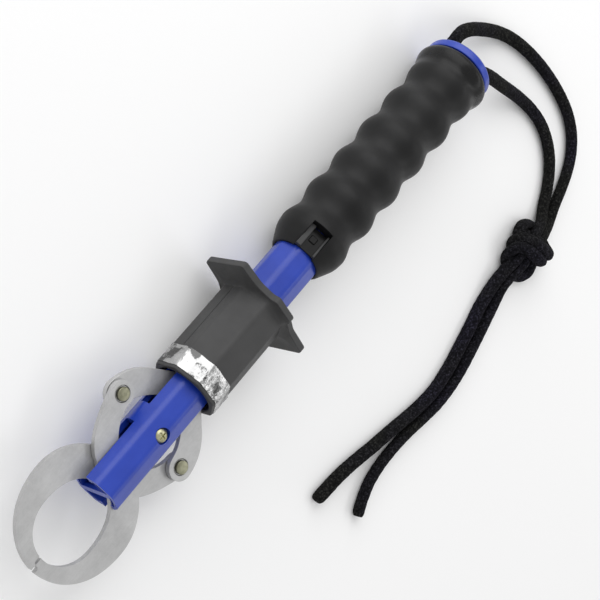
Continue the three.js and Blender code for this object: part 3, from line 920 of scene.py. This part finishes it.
def turned_upright(name, profile, x, y):
    """A piece turned about a line parallel to Z; the profile holds (height, radius) pairs."""
    rings = []
    for height, radius in profile:
        r = max(radius, 0.01)
        ring = [Vector((x + r * cos(t), y + r * sin(t), height)) for t in turn_angles(48)]
        rings.append(ring)
    return loft(name, rings)


# ---- jaws, links and rivets

# The hooks' ring: where its outside and its hole are centred along X, and the outside's radius.
RING_CENTRE = -55.5
RING_RADIUS = 22.9
HOOK_CENTRE = -60.5
TAIL_START = Vector((-39.9, 8.5))
RIVET_PLACE = Vector((RIVET.x, RIVET.y))
TAIL_END_RADIUS = 4.6

# Between these two places along X a hook steps down from its own layer to the middle plane.
RAMP = (-62.0, -44.5)
RAMP_STEPS = 16


def polar(centre, radius, angle):
    t = radians(angle)
    return Vector((centre[0] + radius * cos(t), centre[1] + radius * sin(t)))


def hook_outline():
    """The hook's hole, then the tail's two sides, then the ring's outside."""
    tail_end = polar(RIVET_PLACE, TAIL_END_RADIUS, 105)
    points = arc((HOOK_CENTRE, 0), (13.2, 13.1), 180, 270, 48)
    points += arc((HOOK_CENTRE, 0), (17.0, 13.1), 270, 360, 48)
    points += bezier([points[-1], (-42.4, 4.4), TAIL_START], 12)
    points += bezier([TAIL_START, (-38.2, 16.3), (-26.8, 20.4), tail_end], 48)
    points += arc(RIVET_PLACE, TAIL_END_RADIUS, 105, -90, 32)
    points += bezier([points[-1], (-24.5, 13.9), (-29.5, 9.6), (-31.8, 4.2)], 24)
    ring_join = polar((RING_CENTRE, 0), RING_RADIUS, -6)
    points += bezier([(-31.8, 4.2), (-32.7, 1.2), ring_join], 8)
    points += arc((RING_CENTRE, 0), RING_RADIUS, -6, -180, 110)
    return points


def bend_down(obj, drop):
    """Steps the hook from its own layer to the middle plane over a short soft ramp."""
    shape = bmesh.new()
    shape.from_mesh(obj.data)
    for i in range(RAMP_STEPS + 1):
        x = RAMP[0] + (RAMP[1] - RAMP[0]) * i / RAMP_STEPS
        everything = [*shape.verts, *shape.edges, *shape.faces]
        bmesh.ops.bisect_plane(shape, geom=everything, plane_co=(x, 0, 0), plane_no=(1, 0, 0))
    for vertex in shape.verts:
        share = min(1.0, max(0.0, (vertex.co.x - RAMP[0]) / (RAMP[1] - RAMP[0])))
        vertex.co.z -= drop * (1 - share * share * (3 - 2 * share))
    shape.to_mesh(obj.data)
    shape.free()


def tip_cutter(offset, side):
    """Cuts a hook off along the stepped line where the two tips meet."""
    step = [(-90, -1.6), (-77.0, -1.6), (-76.6, -1.3), (-76.2, 0.5), (-75.7, 0.9), (-70, 0.9)]
    outline = [Vector((x, y + offset)) for x, y in step]
    outline += [Vector((-70, side * 6)), Vector((-90, side * 6))]
    return plate("tip_cutter", outline, -5, 5)


def rivet_seat():
    """Cuts a plate's chamfered hole, which leaves a dark ring round the rivet's head."""
    face, floor = PLATE_TOP, PLATE_TOP - 0.45
    profile = [(face + 1, 3.3), (face, 3.05), (floor, 2.75), (floor, 2.3), (-5, 2.3)]
    return turned_upright("seat", profile, RIVET.x, RIVET.y)


def jaw(name, tip_offset, tip_side, turned):
    made = plate(name, hook_outline(), LAYER, PLATE_TOP)
    cut(
        made,
        post("pin_hole", CROSS_X, 0, EYE_RADIUS, -5, 5),
        rivet_seat(),
    )
    clean(made)
    bend_down(made, LAYER + PLATE / 2)
    if turned:
        roll(made, pi)
    cut(made, tip_cutter(tip_offset, tip_side))
    return soften(made, 0.3)


def link_outline():
    """Round the rivet, along the back, round the anchor pin and along the inside."""
    back_centre = Vector((-20.5, 4))
    end = RIVET_PLACE - back_centre
    bearing = degrees(atan2(end.y, end.x))
    points = arc(RIVET_PLACE, 5, 261, bearing, 40)
    points += arc(back_centre, end.length + 5, bearing, 37, 30)
    points += arc((ANCHOR_X, 0), 4.5, 37, -135, 40)
    points += bezier([points[-1], (-6.5, 5.5), (-12.5, 11.8), (RIVET.x + 1.5, RIVET.y - 5.6)], 24)
    return points


def link(name, turned):
    made = plate(name, link_outline(), LAYER, PLATE_TOP)
    cut(
        made,
        post("pin_hole", ANCHOR_X, 0, PIN_RADIUS + GAP, -5, 5),
        rivet_seat(),
    )
    mirror_y(made)
    if turned:
        roll(made, pi)
    return soften(clean(made), 0.3)


def rivet(name, side):
    low = SLOT_HALF - 0.45
    head = [(low, 2.0), (low, 2.3), (low + 0.55, 2.5), (low + 0.95, 2.4), (low + 1.16, 2.1)]
    head += [(low + 1.24, 1.4), (low + 1.2, 0.6), (low + 1.2, 0.0)]
    lower = [(-height, radius) for height, radius in reversed(head)]
    return smooth(turned_upright(name, lower + head, RIVET.x, side * RIVET.y), 38)


def add_jaws(steel, zinc):
    show(jaw("jaw_right_hook", -GAP / 2, 1, False), "jaw_right", steel)
    show(jaw("jaw_left_hook", GAP / 2, -1, True), "jaw_left", steel)
    show(link("link_right_plate", False), "link_right", steel)
    show(link("link_left_plate", True), "link_left", steel)
    show(rivet("rivet_left_heads", 1), "rivet_left", zinc)
    show(rivet("rivet_right_heads", -1), "rivet_right", zinc)


# ---- trigger sleeve and its foil band

SLEEVE_PHASE = pi / 8
FLANGE_FRONT = SLEEVE_REAR - 2.8

# The barrel runs into the flange over a gusset, and the seams' grooves end as it starts.
GUSSET = 2.4
GUSSET_FADE = 0.8
GUSSET_START = FLANGE_FRONT - GUSSET + GUSSET_FADE
GUSSET_SHARE = 0.985
SEAMS = (pi / 2, 3 * pi / 2)
SEAM_HALF = 0.035
SEAM_DEPTH = 0.8
RIM = 0.55
SOCKET_FRONT = 22.0
DRILL_HALF = 11.3


def radius_at(outline, angle):
    """How far an outline in Y and Z lies from the axis, at an angle from +Z towards +Y."""
    ray = Vector((sin(angle), cos(angle)))
    farthest = 0.0
    for a, b in zip(outline, outline[1:] + outline[:1]):
        side = b - a
        across = ray.x * side.y - ray.y * side.x
        if abs(across) < 1e-9:
            continue
        along = (a.x * side.y - a.y * side.x) / across
        share = (a.x * ray.y - a.y * ray.x) / across
        if -1e-6 <= share <= 1 + 1e-6 and along > farthest:
            farthest = along
    return farthest


def flange_outline():
    quarter = [(21.4, 10.1), (11.5, 10.9), (6, 13.6), (5, 16)]
    corners = quarter + [(-y, z) for y, z in reversed(quarter)]
    corners += [(-y, -z) for y, z in quarter]
    corners += [(y, -z) for y, z in reversed(quarter)]
    return without_repeats(rounded_outline(corners, 1.3, 8))


def outline_angles(*outlines):
    """The directions of every point of the outlines, and even ones between them."""
    angles = {round(2 * pi * i / 240, 5) for i in range(240)}
    for outline in outlines:
        for point in outline:
            angles.add(round(atan2(point.x, point.y) % (2 * pi), 5))
    kept = []
    for angle in sorted(angles):
        if not kept or angle - kept[-1] > 0.004:
            kept.append(angle)
    return kept


def ring_at(x, angles, radii):
    return [around(x, r, t) for t, r in zip(angles, radii)]


def grooved(angles, radii, depth):
    nearness = [max(max(0.0, 1 - abs(t - seam) / SEAM_HALF) for seam in SEAMS) for t in angles]
    return [r - depth * near for r, near in zip(radii, nearness)]


def barrel_rings(angles, on_barrel):
    """The rounded front edge, then the stretch under the foil, then the grooves."""
    rings = []
    for x, shrink in ((0, 0.45), (0.12, 0.2), (0.4, 0.04), (0.8, 0.0), (BAND_REAR + 0.4, 0.0)):
        rings.append(ring_at(x, angles, [r - shrink for r in on_barrel]))
    groove_front, groove_rear = BAND_REAR + 0.9, FLANGE_FRONT - GUSSET - 2
    for x, depth in ((groove_front, SEAM_DEPTH), (groove_rear, SEAM_DEPTH), (GUSSET_START, 0)):
        rings.append(ring_at(x, angles, grooved(angles, on_barrel, depth)))
    return rings


def flange_rings(angles, on_barrel, on_flange):
    """The gusset, and the flange with both of its edges rounded."""
    rings = []
    steps = 14
    for i in range(1, steps + 1):
        turn = i / steps * pi / 2
        x = GUSSET_START + (GUSSET - GUSSET_FADE) * sin(turn)
        ease = (1 - cos(turn)) * GUSSET_SHARE
        radii = [a + (b - a) * ease for a, b in zip(on_barrel, on_flange)]
        rings.append(ring_at(x, angles, radii))
    turns = [pi / 2 * i / 4 for i in range(5)]
    edges = [(FLANGE_FRONT + RIM * (1 - cos(t)), RIM * (1 - sin(t))) for t in turns]
    edges += [(SLEEVE_REAR - RIM + RIM * sin(t), RIM * (1 - cos(t))) for t in turns]
    for x, inset in edges:
        rings.append(ring_at(x, angles, [r - inset for r in on_flange]))
    return rings


def socket_rings(angles):
    """The eight-sided socket at the rear and the round bore in front of it."""
    socket = without_repeats(octagon(TUBE_RADIUS + 0.45, TUBE_ROUNDING))
    on_socket = [radius_at(socket, t) for t in angles]
    bored = [SLEEVE_BORE] * len(angles)
    return [
        ring_at(SLEEVE_REAR, angles, [r + 0.3 for r in on_socket]),
        ring_at(SLEEVE_REAR - 0.3, angles, on_socket),
        ring_at(SOCKET_FRONT, angles, on_socket),
        ring_at(SOCKET_FRONT, angles, bored),
        ring_at(0.4, angles, bored),
        ring_at(0, angles, [r + 0.4 for r in bored]),
    ]


def sleeve_octagon(radius):
    return without_repeats(octagon(radius, SLEEVE_ROUNDING, SLEEVE_PHASE, 6))


def trigger_sleeve(material):
    barrel, flange = sleeve_octagon(SLEEVE_RADIUS), flange_outline()
    angles = outline_angles(barrel, flange)
    on_barrel = [radius_at(barrel, t) for t in angles]
    on_flange = [radius_at(flange, t) for t in angles]
    rings = barrel_rings(angles, on_barrel)
    rings += flange_rings(angles, on_barrel, on_flange)
    rings += socket_rings(angles)
    sleeve = hoop("trigger_sleeve_grip", rings)
    drill = post("drill", DRIVE_PIN_X, 0, DRIVE_PIN_RADIUS + GAP, -DRILL_HALF, DRILL_HALF)
    cut(sleeve, roll(drill, pi / 2))
    return show(smooth(sleeve, 30), "trigger_sleeve", material)


FOIL_COLUMNS = 26
FOIL_INSET = 0.25
FOIL_LAP = 5.1
FOIL_TURN_IN = 0.985


def foil_lift(where, t):
    """How far the crumpled foil stands off the sleeve, most of all at its lapped end."""
    wrinkle = abs(noise.noise(where * 0.42 + Vector((7, 3, 1))))
    wrinkle += 0.6 * abs(noise.noise(where * 1.1 + Vector((1, 9, 4))))
    lift = 0.12 + 0.42 * max(0.0, 0.42 - wrinkle) ** 1.2
    lift += 0.22 * max(0.0, 1 - abs(t - FOIL_LAP) / 0.04)
    return min(0.62, lift)


def foil_ring(share, angles, radii):
    """One ring of the foil, a share of the way back, with a slightly ragged edge."""
    ring = []
    for t, r in zip(angles, radii):
        edge = 0.22 * noise.noise(Vector((3 * sin(t), 3 * cos(t), 4.0 + share)))
        plain = BAND_FRONT + FOIL_INSET + (BAND_REAR - BAND_FRONT - 2 * FOIL_INSET) * share
        x = plain + edge * (2 * share - 1)
        ring.append(around(x, r + foil_lift(around(x, r, t), t), t))
    return ring


def foil_band(material):
    """A strip of thin foil round the sleeve, whose two edges are turned in to it."""
    inner = sleeve_octagon(SLEEVE_RADIUS + 0.06)
    angles = outline_angles(inner)
    radii = [radius_at(inner, t) for t in angles]
    outside = [foil_ring(k / FOIL_COLUMNS, angles, radii) for k in range(FOIL_COLUMNS + 1)]
    front, rear = ([Vector((p.x, p.y * FOIL_TURN_IN, p.z * FOIL_TURN_IN)) for p in ring]
                   for ring in (outside[0], outside[-1]))
    band = smooth(hoop("label_band_foil", [front, *outside, rear]), 24)
    return show(band, "label_band", material)


# ---- grip, key and cap

BUMP_PITCH = 16.88
FIRST_BUMP = 75.4
CREST = 14.0
VALLEY = 12.1
BULGE_START = 161.5
KNOTS_PER_BUMP = 12
CAP_SEAT = 159.7

# The notch for the key: its rear end, and its place round the grip in degrees from the top.
NOTCH_REAR = 75.0
KEY_ANGLE = 31.5


def grip_profile():
    """The front taper, a wave for each bump, then the rear bulge, as (x, radius) pairs."""
    knots = [(64.5, 9.95), (65.1, 10.45), (66.5, 11.1), (69, 12.3), (72, 13.5)]
    swing, middle = (CREST - VALLEY) / 2, (CREST + VALLEY) / 2
    for i in range(int((BULGE_START - FIRST_BUMP) / BUMP_PITCH * KNOTS_PER_BUMP) + 1):
        turn = 2 * pi * i / KNOTS_PER_BUMP
        x = FIRST_BUMP + i * BUMP_PITCH / KNOTS_PER_BUMP
        knots.append((x, middle + swing * cos(turn)))
    knots += [(163.2, 13.95), (165.2, 14.75), (167.2, 15.35), (168.7, 15.1), (169.7, 14.3)]
    knots += [(GRIP_REAR, 13.5)]
    return [(p.x, p.y) for p in smooth_path([(x, r, 0) for x, r in knots], 0.7)]


def at_key(obj):
    """Turns a piece made at the top of the grip round to the key's place."""
    return roll(obj, -radians(KEY_ANGLE))


def rubber_grip(material):
    profile = grip_profile()
    profile += [(GRIP_REAR, 12.7), (CAP_SEAT, 12.7), (CAP_SEAT, 9.3), (GRIP_FRONT, 9.3)]
    grip = hoop("rubber_grip", [circle(x, r, 128) for x, r in profile])
    cut(grip, at_key(box("notch", (GRIP_FRONT - 1, NOTCH_REAR), (-4.3, 4.3), (5, 20))))
    soften(clean(grip, 0.05), 0.35, 38)
    return show(grip, "grip", material)


def grip_key(bed_material, painted_highlight_material):
    """The catch in the grip's notch: a sunk bed with a small lug, between two painted highlight
    strips.
    """
    ends = (GRIP_FRONT + GAP, NOTCH_REAR - GAP)
    core = [circle(60, ROUND_RADIUS + GAP), circle(80, ROUND_RADIUS + GAP)]
    bed = at_key(box("grip_key_catch", ends, (-4.22, 4.22), (8, 9.7)))
    join(bed, at_key(box("lug", (69.0, 71.6), (-1.3, 1.3), (9, 10.2))))
    cut(bed, loft("core", core))
    soften(clean(bed), 0.3)
    show(bed, "grip_key", bed_material)
    # The two grey strips are painted highlights, where the notch's walls catch the light.
    for name, middle, half, height in (("left", 3.2, 1.0, 11.2), ("right", -3.8, 0.4, 11.0)):
        highlight_strip = box(f"grip_key_rail_{name}", ends, (middle - half, middle + half), (9.4, height))
        soften(at_key(highlight_strip), 0.25)
        add_detail(into_row(highlight_strip), "grip_key", painted_highlight_material)


def end_cap(material):
    """A hollow cap with a flared hole for each strand of the cord."""
    rim = GRIP_REAR + GAP
    outer = [
        (CAP_SEAT + 0.1, 12.4), (rim, 12.4), (rim, 13.7), (rim + 0.2, 14.0), (rim + 0.6, 14.2),
        (rim + 2.5, 14.2), (rim + 3.1, 14.05), (rim + 3.6, 13.6), (rim + 4.2, 12.7),
        (CAP_END - 1.2, 11.6), (CAP_END - 0.75, 10.0), (CAP_END - 0.5, 8.0), (CAP_END - 0.3, 6.0),
        (CAP_END - 0.1, 3.0), (CAP_END, 1.0), (CAP_END, 0.02),
    ]
    inner = [
        (CAP_END - 1.8, 0.02), (CAP_END - 2.2, 5.5), (CAP_END - 3.2, 9.3), (CAP_END - 4.6, 10.9),
        (162, 10.9), (162, 4.8), (150, 4.8), (150, 6.3), (CAP_SEAT + 0.1, 6.3),
    ]
    cap = hoop("end_cap_dome", [circle(x, r) for x, r in outer + inner])
    for side in (-1, 1):
        hole = []
        for x, radius in ((165, 2.9), (175.4, 2.9), (175.9, 3.1), (176.4, 3.7), (180, 4.4)):
            hole.append([p + CORD_HOLE * side for p in circle(x, radius, 48)])
        cut(cap, loft("cord_hole", hole))
    soften(clean(cap, 0.05), 0.25, 36)
    return show(cap, "end_cap", material)


def cord_in_cap(material):
    """The cord's bend inside the cap, between its two holes."""
    mouth = Vector((177.25, 0, 0))
    points = [mouth + CORD_HOLE]
    for i in range(13):
        turn = pi * i / 12
        middle = Vector((173.9 - CORD_HOLE.length * sin(turn), 0, 0))
        points.append(middle + CORD_HOLE * cos(turn))
    points.append(mouth - CORD_HOLE)
    path = smooth_path([place(p) / MM for p in points], STEP)
    bend = cord_mesh("cord_in_cap", [(strand_rings(path, 0.92), 0)])
    return stand_for(bend, "lanyard_bight", material)


# ---- straps, pins and spring inside the tube


def strap(node, turned, material):
    """A bar from the crossing pin to the yoke, with windows for the screw and the anchor pin."""
    bottom, top = SLOT_HALF + 0.15, SLOT_HALF + 1.75
    outline = arc((CROSS_X, 0), 4.0, 90, 270, 32)
    outline += [Vector((31, -4.0)), Vector((31, 4.0))]
    made = plate(f"{node}_bar", outline, bottom, top)
    for x, half in ((SCREW_X, 1.75), (ANCHOR_X, PIN_RADIUS + GAP)):
        cut(made, box("window", (x - TRAVEL - half, x + half), (-half, half), (-6, 6)))
    cut(
        made,
        post("pin_hole", CROSS_X, 0, PIN_RADIUS + GAP, -6, 6),
        post("yoke_hole", YOKE_PIN_X, 0, 1.8, -6, 6),
    )
    if turned:
        roll(made, pi)
    soften(clean(made), 0.25)
    return show(made, node, material)


def rod(name, x, radius, half, chamfer):
    """A chamfered pin about a line parallel to Z."""
    profile = [(-half, 0.0), (-half, radius - chamfer), (-half + chamfer, radius)]
    profile += [(half - chamfer, radius), (half, radius - chamfer), (half, 0.0)]
    return turned_upright(name, profile, x, 0)


def pin(node, x, radius, half, material):
    return show(smooth(rod(f"{node}_rod", x, radius, half, 0.3), 35), node, material)


def drive_pin(material):
    made = rod("drive_pin_rod", DRIVE_PIN_X, DRIVE_PIN_RADIUS, 11.1, 0.25)
    return show(smooth(roll(made, pi / 2), 35), "drive_pin", material)


def coil_rings(front, long, wire, coil, turns):
    """Rings of round wire along a coil of the given radius, which starts at front."""
    per_turn = 36
    count = turns * per_turn
    rise = long / (turns * 2 * pi)
    rings = []
    for i in range(count + 1):
        turn = 2 * pi * i / per_turn
        out = Vector((0, cos(turn), sin(turn)))
        along = Vector((rise, -coil * sin(turn), coil * cos(turn))).normalized()
        over = along.cross(out)
        centre = Vector((front + long * i / count, 0, 0)) + out * coil
        rings.append([centre + (out * cos(t) + over * sin(t)) * wire for t in turn_angles(12)])
    return rings


def return_spring(material):
    """A coil spring, which on the real tool shortens against its seat as the trigger moves back;
    here it is a fixed coil on the body.
    """
    low, high = extent("return_spring")
    long = high.x - low.x
    wire = 0.55
    rings = coil_rings(low.x + wire, long - 2 * wire, wire, 4.6, 7)
    made = into_row(smooth(loft("return_spring_coil", rings)))
    made.data.materials.append(material)
    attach(made, "body")
    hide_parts("return_spring")
    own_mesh(made)
    return made


# ---- assembly

add_camera()
add_floor()
add_lights()

BLUE = blue_plastic()
SLEEVE_GREY = sleeve_plastic()
RUBBER = grip_rubber()
STEEL = brushed_steel("jaw_steel", (70, 2600, 2600))
PIN_STEEL = brushed_steel("pin_steel", (900, 900, 60), 0.45)
ZINC = zinc_steel("yellow_zinc", (0.38, 0.37, 0.22), (0.60, 0.58, 0.38))
RIVET_ZINC = zinc_steel("dull_zinc", (0.21, 0.21, 0.145), (0.33, 0.325, 0.235))
FOIL = crinkled_foil()
BLACK = black_plastic()
BRAID = braided_cord()

add_cords(BRAID)
cord_in_cap(BRAID)
body_tube(BLUE)
nose_screw(ZINC)
nose_nut(ZINC)
add_jaws(STEEL, RIVET_ZINC)
trigger_sleeve(SLEEVE_GREY)
foil_band(FOIL)
rubber_grip(RUBBER)
grip_key(BLACK, SLEEVE_GREY)
end_cap(BLUE)
strap("strap_upper", False, STEEL)
strap("strap_lower", True, STEEL)
pin("cross_pin", CROSS_X, PIN_RADIUS, 4.5, PIN_STEEL)
pin("anchor_pin", ANCHOR_X, PIN_RADIUS, 8.0, PIN_STEEL)
pin("yoke_pin", YOKE_PIN_X, 1.5, 4.4, PIN_STEEL)
drive_pin(PIN_STEEL)
return_spring(PIN_STEEL)

# The yoke and the spring's seat show as the CAD's own meshes.
for node in ("pull_yoke", "spring_seat"):
    inside = frame["nodes"][node]
    inside.data.materials.clear()
    inside.data.materials.append(BLACK)
